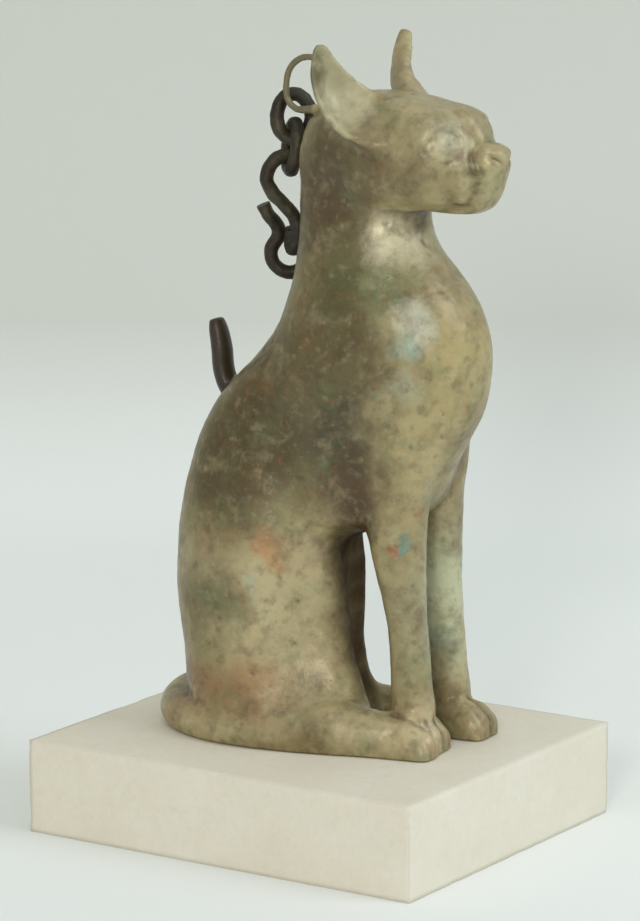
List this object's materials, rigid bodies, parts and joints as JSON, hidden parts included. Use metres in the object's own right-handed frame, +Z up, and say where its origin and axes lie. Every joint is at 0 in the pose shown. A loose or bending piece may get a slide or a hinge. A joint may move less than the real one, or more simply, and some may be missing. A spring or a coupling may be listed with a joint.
{
  "type": "cat sculpture",
  "caption": "Small patinated bronze seated cat on a rectangular pale stone plinth, with a short dark chain hanging behind its neck.",
  "frame": {"origin": "centre of the plinth's underside", "axes": "+Z up, the cat looks along -Y with its left towards +X"},
  "size_m": [0.08, 0.095, 0.1683],
  "materials": {
    "pale_stone": "honed pale limestone with eased edges",
    "patinated_bronze": "cast bronze with an olive-brown patina, worn and pitted",
    "dark_chain": "dark brown corroded bronze wire"
  },
  "bodies": {
    "root": {"plinth": "pale_stone", "cat": "patinated_bronze", "chain_link_1": "dark_chain", "chain_link_2": "dark_chain", "chain_link_3": "dark_chain", "chain_link_4": "dark_chain"}
  },
  "joints": []
}
